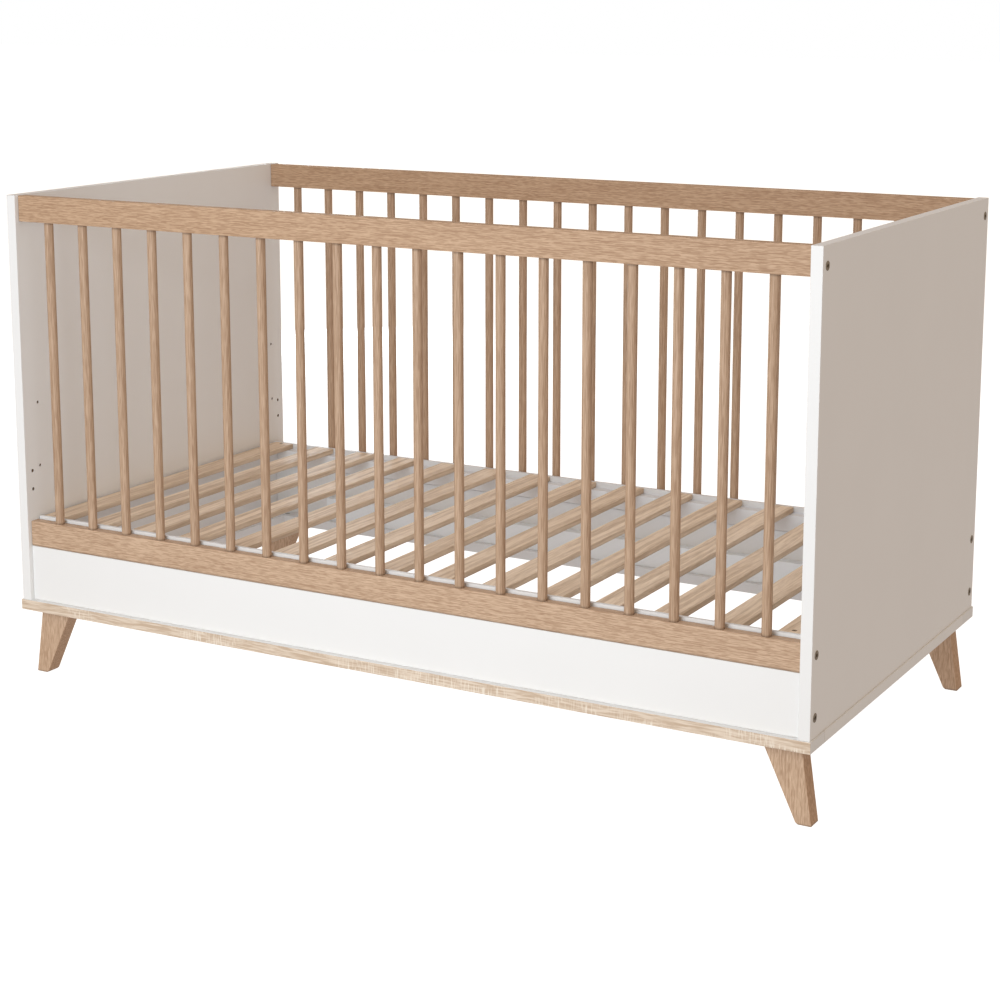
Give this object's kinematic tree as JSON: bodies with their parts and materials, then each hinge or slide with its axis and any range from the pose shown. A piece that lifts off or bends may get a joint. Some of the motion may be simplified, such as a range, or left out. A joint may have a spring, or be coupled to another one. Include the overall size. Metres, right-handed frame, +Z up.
{
  "type": "baby crib",
  "caption": "Baby crib with solid end panels, barred long sides, an apron and plinth on splayed legs, and a slatted base that can be set at different heights.",
  "frame": {"origin": "on the floor under the centre of the crib", "axes": "+X along the crib to the right as seen from the front, front towards -Y, +Z up"},
  "size_m": [1.444, 0.76, 0.833],
  "materials": {
    "white_laminate": "matt white laminate on particle board",
    "plinth_laminate": "pale sawn-oak pattern on the front edge, white laminate elsewhere",
    "oak": "natural oak, matt lacquer, straight grain",
    "slat_wood": "plain softwood, planed and unfinished",
    "dowel_wood": "plain beech",
    "brass_plate": "yellow-plated steel, satin",
    "zinc_steel": "zinc-plated steel",
    "bronze_screw": "dark bronze-plated steel"
  },
  "bodies": {
    "crib_frame": {"left_end_panel": "white_laminate", "right_end_panel": "white_laminate", "front_apron": "white_laminate", "rear_apron": "white_laminate", "front_batten": "white_laminate", "rear_batten": "white_laminate", "front_plinth_board": "plinth_laminate", "rear_plinth_board": "plinth_laminate", "left_plinth_board": "plinth_laminate", "right_plinth_board": "plinth_laminate", "front_top_rail": "oak", "rear_top_rail": "oak", "front_bottom_rail": "oak", "rear_bottom_rail": "oak", "front_bars": "oak", "rear_bars": "oak", "front_left_leg": "oak", "front_right_leg": "oak", "rear_left_leg": "oak", "rear_right_leg": "oak", "side_bolts": "brass_plate", "barrel_nuts": "zinc_steel", "base_support_pins": "zinc_steel", "plinth_screws": "zinc_steel", "batten_screws": "zinc_steel", "leg_screws": "zinc_steel", "side_dowels": "dowel_wood", "plinth_dowels": "dowel_wood"},
    "slatted_base": {"base_front_rail": "white_laminate", "base_rear_rail": "white_laminate", "base_left_rail": "white_laminate", "base_right_rail": "white_laminate", "slat_01": "slat_wood", "slat_02": "slat_wood", "slat_03": "slat_wood", "slat_04": "slat_wood", "slat_05": "slat_wood", "slat_06": "slat_wood", "slat_07": "slat_wood", "slat_08": "slat_wood", "slat_09": "slat_wood", "slat_10": "slat_wood", "slat_11": "slat_wood", "slat_12": "slat_wood", "slat_13": "slat_wood", "slat_14": "slat_wood", "slat_15": "slat_wood", "base_corner_screws": "zinc_steel", "end_slat_screws": "bronze_screw", "slat_screws": "zinc_steel"}
  },
  "joints": [
    {"name": "base_height", "type": "slide", "parent": "crib_frame", "child": "slatted_base", "axis": [0, 0, 1], "range_m": [0, 0.22]}
  ]
}
